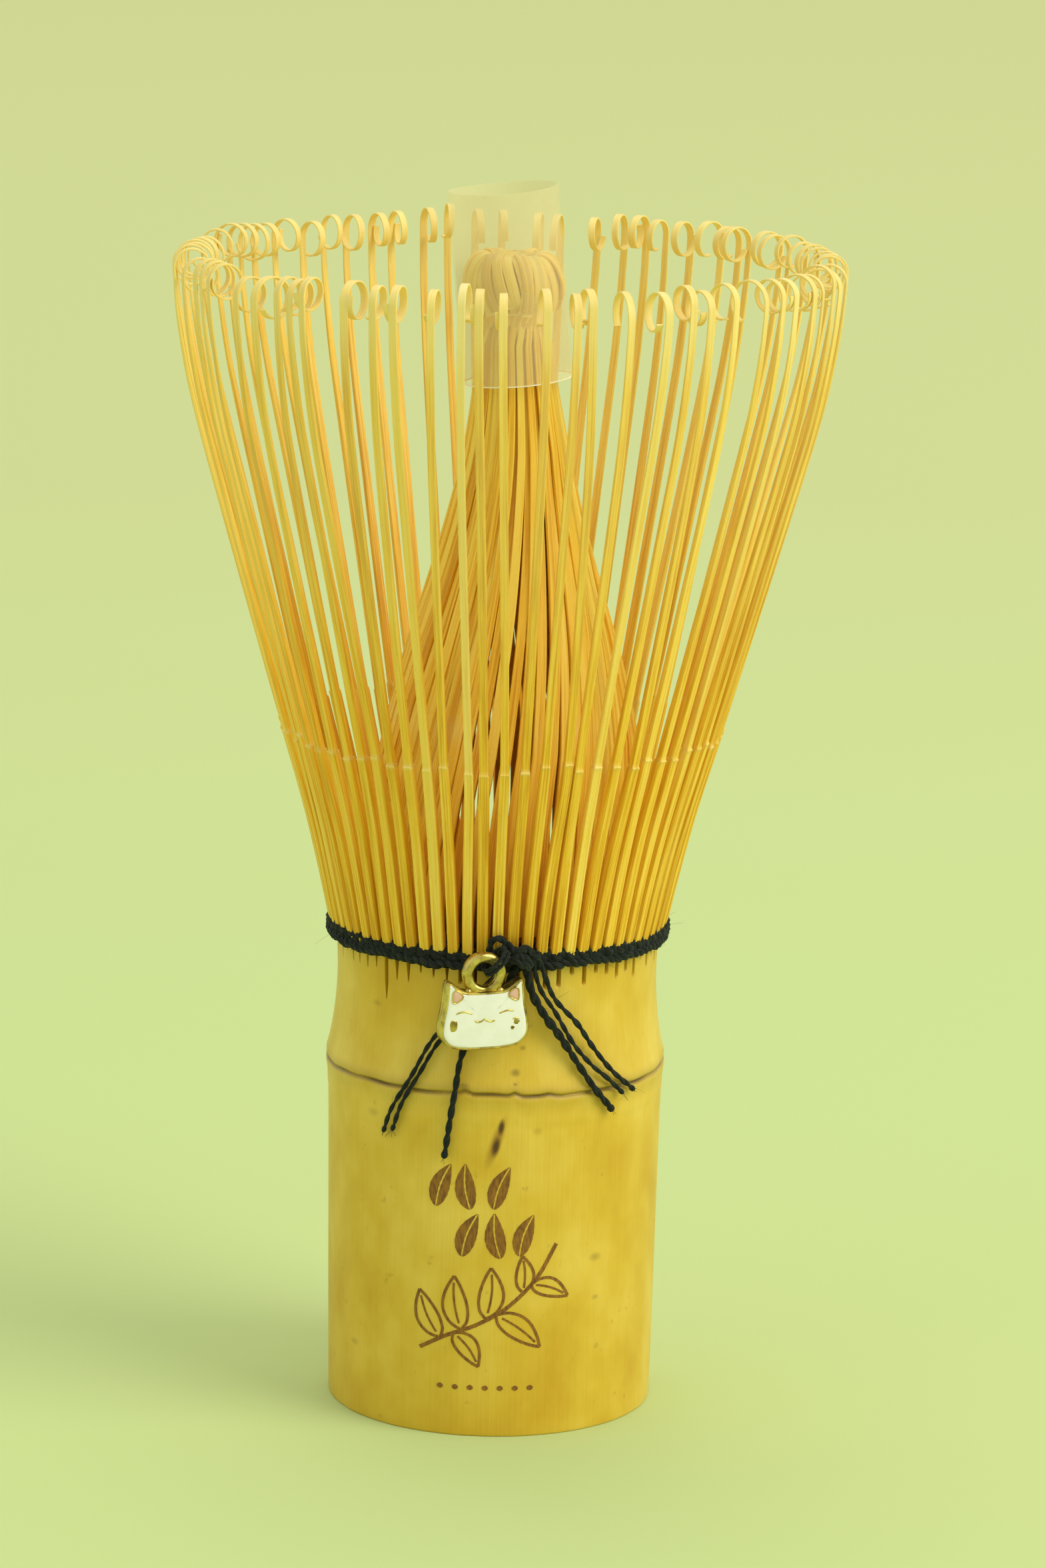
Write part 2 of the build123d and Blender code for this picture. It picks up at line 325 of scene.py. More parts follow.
def bamboo_strip(name, dark, middle, light, pale, subsurface=0.12):
    """Split bamboo: fine fibres along each tine, a tone of its own for each, paler where it is shaved, and
    paler on each step's lip, partly its fresh cut edge and partly a painted highlight.
    """
    n = Nodes(name)
    grain = n.attribute("grain", True)
    fibres = n.noise(n.stretch(grain, (6.5, 4, 0.1)), 1, 4, 0.65)
    broad = n.noise(n.stretch(grain, (1.8, 1.8, 0.05)), 1, 2)
    specks = n.noise(n.stretch(grain, (6, 6, 1.6)), 1, 2)
    tone = n.plus(n.times(fibres, 0.8), n.times(broad, 0.2))
    tone = n.plus(tone, n.times(n.attribute("tone"), 0.1))
    colour = n.ramp(tone, (0.36, dark), (0.5, middle), (0.64, light))
    colour = n.mix(n.ramp(specks, (0.66, 0.0), (0.74, 0.35)), colour, dark)
    colour = n.mix(n.attribute("pale"), colour, pale)
    n.bump(fibres, 0.35, 0.00006)
    rough = n.plus(n.times(fibres, 0.25), 0.36)
    n.set(Subsurface_Weight=subsurface, Subsurface_Radius=(1.0, 0.6, 0.2), Subsurface_Scale=0.0008,
          Specular_IOR_Level=0.35)
    return n.set(Base_Color=colour, Roughness=rough)


def thread_material():
    n = Nodes("cotton_thread")
    grain = n.attribute("grain", True)
    fibre = n.noise(n.stretch(grain, (9, 9, 2.2)), 1, 3)
    tone = n.plus(fibre, n.times(n.attribute("tone"), 0.3))
    n.bump(fibre, 0.5, 0.00008)
    n.set(Sheen_Weight=0.35, Sheen_Roughness=0.45, Sheen_Tint=srgb(120, 130, 110), Specular_IOR_Level=0.25)
    colour = n.ramp(tone, (0.3, srgb(14, 19, 17)), (0.55, srgb(24, 30, 26)), (0.8, srgb(58, 64, 56)))
    return n.set(Base_Color=colour, Roughness=0.78)


def gold_material():
    n = Nodes("gold_plate")
    place = n.place()
    painted_reflection_noise = n.noise(place, 900, 3)
    dents = n.noise(place, 2600, 2)
    # Painted reflection: dark and light blotches in the base colour stand in for the gold's reflections; the
    # same noise also varies its roughness.
    colour = n.ramp(painted_reflection_noise, (0.3, srgb(140, 114, 40)), (0.58, srgb(224, 202, 108)))
    colour = n.mix(n.times(n.attribute("pale"), 0.6), colour, srgb(120, 105, 50))
    n.bump(dents, 0.25, 0.00008)
    rough = n.plus(n.times(painted_reflection_noise, 0.3), 0.1)
    return n.set(Base_Color=colour, Roughness=rough, Metallic=0.9)


def enamel_material(name, colour, edge, gloss):
    n = Nodes(name)
    place = n.place()
    clouds = n.noise(place, 700, 2)
    orange_peel = n.noise(place, 2200, 1)
    n.bump(orange_peel, 0.12, 0.00005)
    n.set(Coat_Weight=0.35, Coat_Roughness=0.2, Specular_IOR_Level=0.5)
    return n.set(Base_Color=n.ramp(clouds, (0.35, edge), (0.6, colour)),
                 Roughness=n.plus(n.times(clouds, 0.1), gloss))


def film_material():
    n = Nodes("clear_film")
    place = n.place()
    haze = n.noise(place, 350, 3)
    streaks = n.noise(n.stretch(place, (2600, 2600, 160)), 1, 2)
    # Painted highlight: the sleeve's bottom rim is drawn whiter and more opaque, standing in for light caught
    # on the film's edge.
    rim = n.attribute("pale")
    alpha = n.plus(n.times(haze, 0.16), n.times(rim, 0.75))
    alpha = n.plus(alpha, 0.12, clamp=True)
    n.bump(streaks, 0.15, 0.00005)
    n.set(Specular_IOR_Level=0.3, Subsurface_Weight=0.0)
    return n.set(Base_Color=n.mix(rim, srgb(244, 232, 178), srgb(255, 252, 232)), Alpha=alpha,
                 Roughness=n.plus(n.times(streaks, 0.2), 0.5))


def spot(n, place, x, z, rx, rz, turn=0.0, soft=0.5):
    """1 inside an ellipse on the front of the handle and 0 outside, in millimetres."""
    apart = n.new("ShaderNodeSeparateXYZ")
    n.link(place, apart.inputs[0])
    dx = n.math("SUBTRACT", n.times(apart.outputs[0], 1000.0), x)
    dz = n.math("SUBTRACT", n.times(apart.outputs[2], 1000.0), z)
    c, s = math.cos(turn), math.sin(turn)
    u = n.plus(n.times(dx, c / rx), n.times(dz, s / rx))
    v = n.plus(n.times(dx, -s / rz), n.times(dz, c / rz))
    far = n.math("SQRT", n.plus(n.times(u, u), n.times(v, v)))
    inside = n.math("DIVIDE", n.math("SUBTRACT", 1.0 + soft, far), 2 * soft, clamp=True)
    return n.times(inside, n.math("LESS_THAN", apart.outputs[1], 0.0))


# Specks on the front of the handle: x, z, size and strength.
SPECKS = [(1.9, 34.0, 0.36, 0.6), (1.9, 33.0, 0.14, 0.6), (2.5, 36.2, 0.22, 0.5), (-2.6, 32.6, 0.4, 0.4),
          (-10.6, 38.9, 0.3, 0.3), (-9.3, 27.6, 0.6, 0.3), (-10.8, 29.0, 0.4, 0.25), (4.0, 28.6, 0.35, 0.25),
          (9.4, 16.2, 0.4, 0.4), (9.5, 12.4, 0.25, 0.35), (-12.2, 6.8, 0.3, 0.3)]


def culm_material():
    """The handle's skin: long faint fibres, cloudy tone, specks, a stained groove, one blemish, painted shade
    in the slits between tines, and a darker cut top and bore.
    """
    n = Nodes("bamboo_culm")
    place = n.place()
    grain = n.attribute("grain", True)
    fibres = n.noise(n.stretch(grain, (7.5, 2, 0.07)), 1, 4, 0.6)
    clouds = n.noise(n.stretch(grain, (0.16, 0.16, 0.11)), 1, 3)
    fleck = n.noise(n.stretch(grain, (1.1, 1.1, 0.75)), 1, 2)
    tone = n.plus(n.times(fibres, 0.17), n.times(clouds, 0.83))
    tone = n.plus(tone, n.times(n.attribute("tone"), 0.25))
    colour = n.ramp(tone, (0.32, srgb(212, 168, 34)), (0.5, srgb(224, 186, 54)), (0.72, srgb(238, 206, 88)))
    colour = n.mix(n.times(n.ramp(fleck, (0.69, 0.0), (0.77, 1.0)), 0.3), colour, srgb(158, 120, 40))
    # The pale attribute darkens here: the node line's stain, painted shade in the slits, and the darker cut
    # top and bore.
    colour = n.mix(n.attribute("pale"), colour, srgb(92, 66, 24))
    blemish = spot(n, place, 0.3, 27.6, 0.42, 2.0, -0.32, 0.45)
    core = spot(n, place, 0.3, 27.2, 0.3, 0.8, -0.2, 0.45)
    upper = spot(n, place, 0.75, 29.0, 0.24, 0.65, -0.15, 0.45)
    colour = n.mix(n.times(blemish, 0.75), colour, srgb(160, 112, 26))
    colour = n.mix(n.times(n.math("MAXIMUM", core, upper), 0.95), colour, srgb(84, 48, 16))
    for x, z, size, strength in SPECKS:
        mark = spot(n, place, x, z, size, size * 0.8, 0, 0.6)
        colour = n.mix(n.times(mark, strength), colour, srgb(128, 92, 34))
    n.bump(n.plus(fibres, n.times(fleck, 0.3)), 0.22, 0.0001)
    rough = n.plus(n.times(fibres, 0.2), 0.34)
    n.set(Subsurface_Weight=0.08, Subsurface_Radius=(1.0, 0.6, 0.25), Subsurface_Scale=0.0015,
          Specular_IOR_Level=0.4, Coat_Weight=0.12, Coat_Roughness=0.35)
    return n.set(Base_Color=colour, Roughness=rough)


def burnt_material():
    n = Nodes("burnt_bamboo")
    place = n.place()
    char = n.noise(n.stretch(place, (5200, 5200, 1300)), 1, 3)
    n.bump(char, 0.4, 0.00006)
    return n.set(Base_Color=n.ramp(char, (0.35, srgb(114, 70, 14)), (0.62, srgb(154, 104, 24))),
                 Roughness=n.plus(n.times(char, 0.2), 0.55))


culm = culm_material()
burnt = burnt_material()
outer_bamboo = bamboo_strip("bamboo_outer", srgb(218, 162, 24), srgb(246, 198, 52), srgb(255, 217, 98),
                            srgb(255, 231, 154), 0.2)
inner_bamboo = bamboo_strip("bamboo_inner", srgb(216, 154, 24), srgb(248, 194, 52), srgb(255, 214, 88),
                            srgb(255, 228, 150), 0.25)
cotton = thread_material()
gold = gold_material()
white_enamel = enamel_material("white_enamel", srgb(246, 244, 232), srgb(240, 240, 226), 0.3)
pink_enamel = enamel_material("pink_enamel", srgb(232, 186, 164), srgb(220, 170, 146), 0.2)
film = film_material()


# ---- handle ----
NODE_Z = 31.9
NODE_R = 15.3
HANDLE_OUTSIDE = [(0.0, 14.78), (5, 14.87), (12, 14.97), (20, 15.07), (26, 15.15), (29.6, 15.24),
                  (31.2, 15.38), (32.4, 15.34), (33.4, 15.14), (34.6, 14.92), (36.8, 14.64), (39.3, 14.5),
                  (42, 14.55), (45, 14.68)]
BORE_R = 11.4
BORE_DEPTH = 28.5
SEPTUM = 2.2
SLIT = 0.85  # half a slit's width, in degrees
outside_curve = smooth_curve(HANDLE_OUTSIDE, 400)


def handle_radius(z):
    return np.interp(z, outside_curve[:, 0], outside_curve[:, 1])


def skin(azimuth, z):
    """The handle's skin: a slightly oval circle with faint facets."""
    a = np.radians(azimuth)
    oval = handle_radius(z) * (1 + 0.0016 * np.cos(2 * a + 0.7))
    return oval + 0.012 * np.sin(17 * a + 0.4) + 0.008 * np.sin(31 * a)


def groove_height(azimuth):
    """The node line wanders a little round the handle."""
    a = np.radians(azimuth)
    from_front = np.radians(azimuth - FRONT)
    x = NODE_R * np.sin(from_front)
    front = np.cos(from_front) > 0
    buds = 0.26 * bell(x, -2.6, 0.5) + 0.26 * bell(x, 1.9, 0.42) + 0.15 * bell(x, 4.9, 0.6)
    return NODE_Z + 0.1 * np.sin(3 * a + 1) + 0.06 * np.sin(8 * a + 2) + 0.03 * np.sin(23 * a) + front * buds


def build_handle():
    spread = np.array([-SLIT, -0.5, 0.0, 0.5, SLIT, 1.6, 2.5, 3.4])
    middle = np.repeat(PITCH / 2 + np.arange(TINES) * PITCH, len(spread))
    azimuth = middle + np.tile(spread, TINES)
    slit_start = HANDLE_TOP - 1.65 - rng.uniform(0.85, 1.5, TINES) ** 2
    long_slit = np.argmin(np.abs((np.arange(TINES) + 0.5) * PITCH - (FRONT - 44)))
    slit_start[long_slit] = 39.4
    depth_of = np.tile([0.0, 0.75, 1.0, 0.75, 0.0, 0, 0, 0], TINES)
    start_of = np.repeat(slit_start, len(spread))
    a = np.radians(azimuth)
    wander = groove_height(azimuth)
    outside_z = np.concatenate([np.linspace(*run) for run in (
        (0.2, 27, 44), (27.4, 30.6, 12), (30.8, 33.4, 40), (33.7, 39, 16), (39.2, 45, 40))])
    rows, stain_and_shade, tone = [], [], []

    def ring(radius, z, dark=0.0, light=0.0, at=None):
        at = a if at is None else at
        rows.append(np.stack([radius * np.cos(at), radius * np.sin(at), np.broadcast_to(z, a.shape)], 1))
        stain_and_shade.append(np.broadcast_to(dark, a.shape))
        tone.append(np.broadcast_to(light, a.shape))

    for z, inset in ((0.0, 0.16), (0.02, 0.07), (0.07, 0.02)):
        ring(skin(azimuth, 0.2) - inset, z, 0.1, 0.3)
    for z in outside_z:
        r = skin(azimuth, z)
        off = z - wander
        r = r - 0.2 * bell(off, 0, 0.17) + 0.05 * bell(off, 0.42, 0.3) + 0.05 * bell(off, -0.45, 0.3)
        r = r + 0.045 * bell(z - wander + NODE_Z, 29.5, 0.5) - 0.03 * bell(z - wander + NODE_Z, 28.9, 0.4)
        slit = depth_of * smoothstep(z, start_of, start_of + 0.6)
        r = r - 1.1 * slit
        line = 0.8 * bell(off, 0.0, 0.2) * (0.72 + 0.28 * np.sin(5 * a + 1) * np.sin(13 * a))
        line = line + 0.2 * bell(off, 0.35, 0.45) + 0.12 * bell(off, -0.6, 0.9)
        narrow = 1 - 0.65 * (1 - smoothstep(z, start_of, start_of + 2.0))
        at = np.radians(middle + (azimuth - middle) * np.where(np.abs(azimuth - middle) <= SLIT, narrow, 1))
        # Painted shade: the slits between tines are darkened by 0.6 * slit, on top of the node line's stain.
        ring(r, z, np.clip(line + 0.6 * slit, 0, 0.95), 0.25 * bell(off, 2.5, 2.5), at)
    top = handle_radius(HANDLE_TOP)
    # The cut top and the bore are drawn darker (0.22 to 0.35); at the slits the top is darker still, as
    # painted shade.
    ring(top - 0.25 - 0.85 * depth_of, HANDLE_TOP, 0.35 + 0.3 * depth_of)
    ring(top - 1.7, HANDLE_TOP, 0.3)
    ring(BORE_R + 0.2, HANDLE_TOP, 0.3)
    ring(BORE_R, HANDLE_TOP - 0.2, 0.35)
    for z in np.linspace(HANDLE_TOP - 1, BORE_DEPTH + SEPTUM + 0.8, 12):
        ring(BORE_R + 0.08 * np.sin(9 * a + z), z, 0.3)
    ring(BORE_R - 0.3, BORE_DEPTH + SEPTUM + 0.15, 0.35)
    septum_radii = (10.2, 7.5, 4, 1, 0.05)
    for r in septum_radii:
        ring(r, BORE_DEPTH + SEPTUM - 0.25 * (1 - r / BORE_R), 0.25)
    for r in septum_radii[::-1]:
        ring(r, BORE_DEPTH + 0.35 * (1 - r / BORE_R) ** 0.5, 0.22)
    ring(BORE_R - 0.3, BORE_DEPTH - 0.1, 0.3)
    for z in np.linspace(BORE_DEPTH - 0.8, 1.0, 16):
        ring(BORE_R + 0.06 * np.sin(7 * a + z * 0.4), z, 0.22)
    ring(BORE_R + 0.15, 0.12, 0.12, 0.3)
    ring(BORE_R + 0.5, 0.0, 0.1, 0.4)
    ring(13.2, 0.0, 0.05, 0.5)
    points = np.array(rows)
    grain = points.copy()
    grain[..., 0] = np.broadcast_to(15 * a, points.shape[:2])
    grain[..., 1] = np.linalg.norm(points[..., :2], axis=-1)
    shape = Shape()
    shape.add(points, grid_faces(len(rows), len(azimuth), closed=True), grain, np.array(tone).ravel(),
              np.array(stain_and_shade).ravel())
    shape.piece("handle_culm", culm, "handle", ["bamboo_handle"])


# ---- burnt mark, a plain tea sprig ----
def stroke(shape, points, width, count=None):
    """A burnt stroke on the handle's front: points are x and z, width is one number or one at each step."""
    length = np.linalg.norm(np.diff(np.asarray(points, float), axis=0), axis=1).sum()
    count = count or max(5, int(length / 0.22))
    path = smooth_curve(points, count)
    tangent = unit(np.gradient(path, axis=0))
    across = np.stack([-tangent[:, 1], tangent[:, 0]], 1)
    half = np.broadcast_to(width, (count,))[:, None] / 2
    rough = 1 + 0.05 * np.sin(np.arange(count) * 2.1)[:, None]
    lanes = np.array([-1, -0.5, 0, 0.5, 1])
    flat = path[:, None] + across[:, None] * (half * rough)[:, None] * lanes[None, :, None]
    x, z = flat[..., 0], flat[..., 1]
    rows = []
    for lift in (0.025, -0.06):
        radius = skin(FRONT + np.degrees(np.arcsin(x / handle_radius(z))), z) + lift
        rows.append(np.stack([x, -np.sqrt(radius**2 - x**2), z], -1))
    ring = np.concatenate([rows[0], rows[1][:, ::-1]], 1)
    shape.add(ring, grid_faces(count, 2 * len(lanes)))


LEAF_LINE = 0.27
LEAF_GAP = 0.1  # between a filled leaf's halves


def leaf(shape, base, tip, width, bow, filled=True):
    """A leaf from base to tip: filled, or drawn in outline with a vein."""
    base, tip = np.array(base, float), np.array(tip, float)
    along = tip - base
    side = np.array([-along[1], along[0]]) / np.linalg.norm(along)
    t = np.linspace(0, 1, 9)[:, None]
    middle = base + along * t + side * bow * np.sin(math.pi * t)
    swell = (np.sin(math.pi * t**0.8) ** 0.85) * width / 2
    if filled:
        count = 22
        s = np.linspace(0, 1, count)
        half = np.sin(math.pi * s**0.8) ** 0.85 * width / 2
        for sign in (-1, 1):
            path = smooth_curve(middle, count)
            shift = sign * (half / 2 + LEAF_GAP / 2)
            stroke(shape, path + side * shift[:, None], np.maximum(half - LEAF_GAP / 2, 0.05), count)
        return
    for sign in (-1, 1):
        stroke(shape, middle + side * sign * swell, LEAF_LINE)
    stroke(shape, middle[1:-1], LEAF_LINE * 0.75)


def build_mark():
    shape = Shape()
    for base, tip, width in (
        ((-5.0, 21.4), (-3.7, 25.4), 1.7), ((-1.9, 21.3), (-2.4, 25.5), 1.8), ((0.2, 21.4), (1.6, 25.3), 1.7),
        ((-2.6, 16.9), (-1.2, 20.9), 1.8), ((0.9, 16.8), (0.3, 21.0), 1.8), ((2.6, 17.0), (3.8, 20.8), 1.7),
    ):
        leaf(shape, base, tip, width, 0.25)
    stroke(shape, [(-6.2, 8.0), (-3.8, 9.4), (-1.2, 10.5), (1.6, 12.2), (4.2, 14.9), (5.9, 18.0)], 0.36)
    for base, tip, width, bow in (
        ((-4.4, 9.1), (-6.3, 13.4), 2.0, 0.3), ((-2.5, 10.0), (-3.2, 15.0), 2.2, 0.3),
        ((-3.2, 9.7), (-0.9, 6.6), 1.9, 0.3), ((-0.3, 11.1), (0.1, 15.9), 2.2, -0.3),
        ((0.6, 11.5), (4.6, 8.4), 2.1, 0.3), ((3.0, 13.6), (2.9, 17.0), 1.6, -0.2),
        ((3.7, 14.3), (7.0, 13.0), 1.7, 0.3),
    ):
        leaf(shape, base, tip, width, bow, filled=False)
    dot_width = 0.5 * np.sin(np.linspace(0.35, 2.8, 7))
    for k in range(7):
        x = -4.6 + k * 1.35
        stroke(shape, [(x, 4.6), (x + 0.28, 4.6), (x + 0.56, 4.6)], dot_width, len(dot_width))
    shape.piece("burnt_mark", burnt, "handle")


# ---- tines ----
TINE_SECTION = np.array([(-0.5, -0.2), (-0.46, -0.04), (-0.31, 0.0), (-0.17, -0.06), (0.0, -0.01),
                         (0.17, -0.06), (0.31, 0.0), (0.46, -0.04), (0.5, -0.2), (0.5, -0.82),
                         (0.43, -1.0), (0.0, -0.96), (-0.43, -1.0), (-0.5, -0.82)])


def strip(shape, path, side, width, thick, tone, pale, start):
    """A split strip along path, its outside on path. width and thick are arrays along it."""
    tangent = unit(np.gradient(path, axis=0))
    side = unit(side - tangent * np.sum(side * tangent, 1, keepdims=True))
    out = np.cross(side, tangent)
    u, v = TINE_SECTION.T
    ring = (path[:, None] + side[:, None] * (width[:, None] * u)[..., None]
            + out[:, None] * (thick[:, None] * v)[..., None])
    run = run_along(path)
    grain = np.stack([width[:, None] * u + start[0], thick[:, None] * v + start[1],
                      np.broadcast_to(run[:, None] + start[2], ring.shape[:2])], -1)
    shape.add(ring, grid_faces(len(path), len(TINE_SECTION)), grain,
              np.repeat(tone + 0 * run, len(u)), np.repeat(pale, len(u)))


STEP_Z = 62.4
TIP_Z = 105.75
RING_R = 29.95
START_LEAN = 0.3
OUTER_PROFILE = [(44.3, 15.3), (45.6, 15.62), (50, 16.6), (55.4, 17.95), (62.4, 20.0), (72.2, 22.8),
                 (82.2, 25.6), (91.6, 28.15), (97, 29.25), (101.2, 29.85), (103.4, 29.97)]
outer_curve = smooth_curve(OUTER_PROFILE, 300)
BODY_Z = np.concatenate([np.linspace(44.3, 46, 4), np.linspace(47.2, 61.2, 9),
                         STEP_Z + np.array([-0.7, -0.35, -0.14, 0.0, 0.1, 0.24, 0.5, 1.0]),
                         np.linspace(64.6, 100.4, 22)])

# Tines lean a little to the right, each by its own seeded amount, in degrees.
MEAN_LEAN = 0.8
LEAN_SPREAD = 1.3
LEAN_LIMITS = (-1.6, 3.0)
CLOSEST_TIPS = 2.5  # degrees between neighbouring tips
PALE_TINES = {-10: 0.3, 55: 0.15, 25: 0.1}
OPEN_CURLS = {20: (2.35, 205), 45: (2.0, 250), -50: (1.95, 330)}


def outer_tine(shape, slot, place, last_lean):
    """One outer tine. slot is its azimuth from the front, place its place in its group of four.

    A tine's tip stays CLOSEST_TIPS from its neighbour's, which leans by last_lean. A group's first tine leans
    at least as far as its neighbour, and the curls of its first and last tines turn to its middle, so groups
    that flex inwards together stay apart.
    """
    step_lean = rng.normal(MEAN_LEAN, LEAN_SPREAD / 2)
    tip_lean = float(np.clip(rng.normal(MEAN_LEAN, LEAN_SPREAD), *LEAN_LIMITS))
    closing = 0.0 if place == 0 else PITCH - CLOSEST_TIPS
    tip_lean = max(tip_lean, last_lean - closing)
    step_z = STEP_Z + rng.normal(0, 0.3)
    radius, sweep = OPEN_CURLS.get(slot, (rng.uniform(1.55, 1.8), rng.uniform(285, 385)))
    top = TIP_Z + rng.normal(0, 0.22)
    ring_r = RING_R + rng.normal(0, 0.12)
    z = BODY_Z + np.where(np.abs(BODY_Z - STEP_Z) < 1.2, step_z - STEP_Z, 0)
    r = np.interp(z, outer_curve[:, 0], outer_curve[:, 1]) + (ring_r - RING_R) * smoothstep(z, 60, 100)
    r = r + 0.09 * bell(z, step_z, 0.13) - 0.07 * smoothstep(z, step_z + 0.05, step_z + 0.2)
    centre_z = top - radius
    joint = [(z[-2], r[-2]), (z[-1], r[-1]), (centre_z - 0.9, ring_r - 0.04), (centre_z, ring_r)]
    rise = smooth_curve(joint, 14)[5:]
    turn = np.radians(np.linspace(8, sweep, 30))
    shrink = radius * (1 - rng.uniform(0.02, 0.14) * turn / (2 * math.pi))
    curl_r = ring_r - radius + shrink * np.cos(turn)
    curl_z = centre_z + shrink * np.sin(turn)
    z, r = np.r_[z, rise[:, 0], curl_z], np.r_[r, rise[:, 1], curl_r]
    straight = len(z) - len(turn)
    direction = rng.choice([-1, 1])
    if place == 0:
        direction = 1
    elif place == 3:
        direction = -1
    drift_end = direction * rng.uniform(0.25, 0.75) * (sweep / 330)
    drift = np.r_[np.zeros(straight), drift_end * (turn / turn[-1]) ** 1.6]
    along_z = np.r_[z[:straight], np.full(len(turn), 103.0)]
    above = np.clip((along_z - 62) / 40, 0, 1)
    lean = START_LEAN + step_lean * smoothstep(along_z, 45, 63) + (tip_lean - step_lean) * above
    lean = lean + rng.normal(0, 0.25) * np.sin(math.pi * above)
    out, side = around(FRONT + slot + lean)
    path = out * r[:, None] + side * drift[:, None]
    path[:, 2] = z
    twist = np.radians(rng.normal(0, 7)) * smoothstep(along_z, 64, 100)
    side = side * np.cos(twist)[:, None] + out * np.sin(twist)[:, None]
    at = np.r_[z[:straight], np.full(len(turn), 104.0)]
    width = np.interp(at, [44, 50, step_z - 0.2, step_z + 0.3, 80, 104],
                      np.array([0.96, 0.94, 0.86, 0.74, 0.73, 0.71]) * rng.uniform(0.94, 1.06))
    width[straight:] *= np.linspace(1, rng.uniform(0.8, 0.95), len(turn))
    thick = np.interp(at, [44, step_z - 0.1, step_z + 0.3, 75, 90, 98, 103],
                      [1.0, 0.82, 0.62, 0.52, 0.36, 0.24, 0.17])
    # The step's lip is paler: partly its fresh cut edge, partly a painted highlight.
    lip_cut_and_highlight = rng.uniform(0.1, 0.6)
    pale = PALE_TINES.get(slot, 0.0) * smoothstep(at, 59, 64) + lip_cut_and_highlight * bell(at, step_z + 0.06, 0.2)
    pale = pale + 0.24 * smoothstep(at, 62, 92) + 0.42 * smoothstep(at, 96, 103.5)
    tone = rng.normal(0, 0.42) - 0.5 * (1 - smoothstep(at, 45, 52))
    strip(shape, path, side, width, thick, tone, np.clip(pale, 0, 1), rng.uniform(0, 60, 3))
    return tip_lean


def build_outer():
    last_lean = 0.0
    for group in range(TINES // 4):
        shape = Shape()
        for k in range(4):
            azimuth = (group * 4 + k) * PITCH
            slot = (azimuth - FRONT + 180) % 360 - 180
            last_lean = outer_tine(shape, int(round(slot)), k, last_lean)
        name = f"outer_tines_{group + 1:02d}"
        shape.piece(f"split_{name}", outer_bamboo, name, [name])


INNER_PROFILE = [(45.95, 13.3), (50, 12.95), (56, 12.3), (62, 11.5), (69.4, 9.72), (76.5, 7.6), (83, 5.85),
                 (88, 4.75), (93.6, 3.8), (97.6, 3.45)]
inner_curve = smooth_curve(INNER_PROFILE, 300)
INNER_OFFSET = ([46, 62, 88, 93.6, 100, 106], [0, 0.8, 0.8, 0.6, 0.3, 0.2])


def inner_tine(shape, index):
    """One inner tine: it rises to the neck, then curls outward over the bulb and ends under its edge."""
    layer = index % 2
    z = np.r_[np.linspace(45.95, 62, 10), np.linspace(64, 97.4, 22)]
    r = np.interp(z, inner_curve[:, 0], inner_curve[:, 1]) - layer * 0.42 * smoothstep(z, 66, 90)
    r = r + rng.normal(0, 0.1) * bell(z, 72, 12)
    reach = rng.uniform(-0.22, 0.12) - 0.25 * layer
    over = [(z[-1], r[-1]), (99.4, 2.9 - layer * 0.5), (101.4, 2.3 - layer * 0.5), (103.4, 2.2 - layer * 0.5),
            (104.8 + reach, 2.2 - layer * 0.4), (105.15 + reach, 2.9 + reach), (104.5, 3.75 + reach),
            (102.9, 4.25 + reach), (101.4 + rng.uniform(-0.2, 0.3), 4.1 + reach),
            (100.2 + rng.uniform(0, 0.8), 3.65 + reach)]
    bend = smooth_curve(over, 40)
    z, r = np.r_[z[:-1], bend[:, 0]], np.r_[r[:-1], bend[:, 1]]
    head = np.r_[np.zeros(len(z) - 40), np.linspace(0, 1, 40)]
    lean = 20 * smoothstep(z, 50, 96) + 26 * head + rng.normal(0, 1.2) * smoothstep(z, 58, 84)
    lean = lean + rng.normal(0, 5) * head + 6 * np.sin(head * 5 + index * 0.35)
    out, side = around(index * PITCH + 2.0 + lean)
    path = out * r[:, None]
    path[:, 0] += np.interp(z, *INNER_OFFSET)
    path[:, 2] = z
    width = np.interp(z, [46, 62, 76, 88, 98], [0.92, 0.9, 0.84, 0.68, 0.54]) * rng.uniform(0.95, 1.08)
    width = width * (1 + 0.75 * smoothstep(head, 0.3, 0.6))
    thick = np.interp(z, [46, 60, 80, 97], [0.7, 0.6, 0.42, 0.26])
    pale = 0.8 * smoothstep(head, 0.975, 1.0) + 0.3 * smoothstep(head, 0.0, 0.4)
    pale = pale + 0.3 * bell(z, 64 + rng.normal(0, 0.5), 0.35) * (head == 0)
    tone = rng.normal(0, 0.7) - 0.35 * (1 - smoothstep(z, 47, 56))
    strip(shape, path, side, width, thick, tone, np.clip(pale, 0, 1), rng.uniform(0, 60, 3))


BULB_CORE = [(95.0, 2.8), (98.5, 2.9), (99.8, 3.2), (100.8, 3.6), (101.8, 3.85), (102.9, 3.9), (104.0, 3.6),
             (104.7, 3.0), (104.9, 2.2), (104.9, 1.2), (104.8, 0.1)]


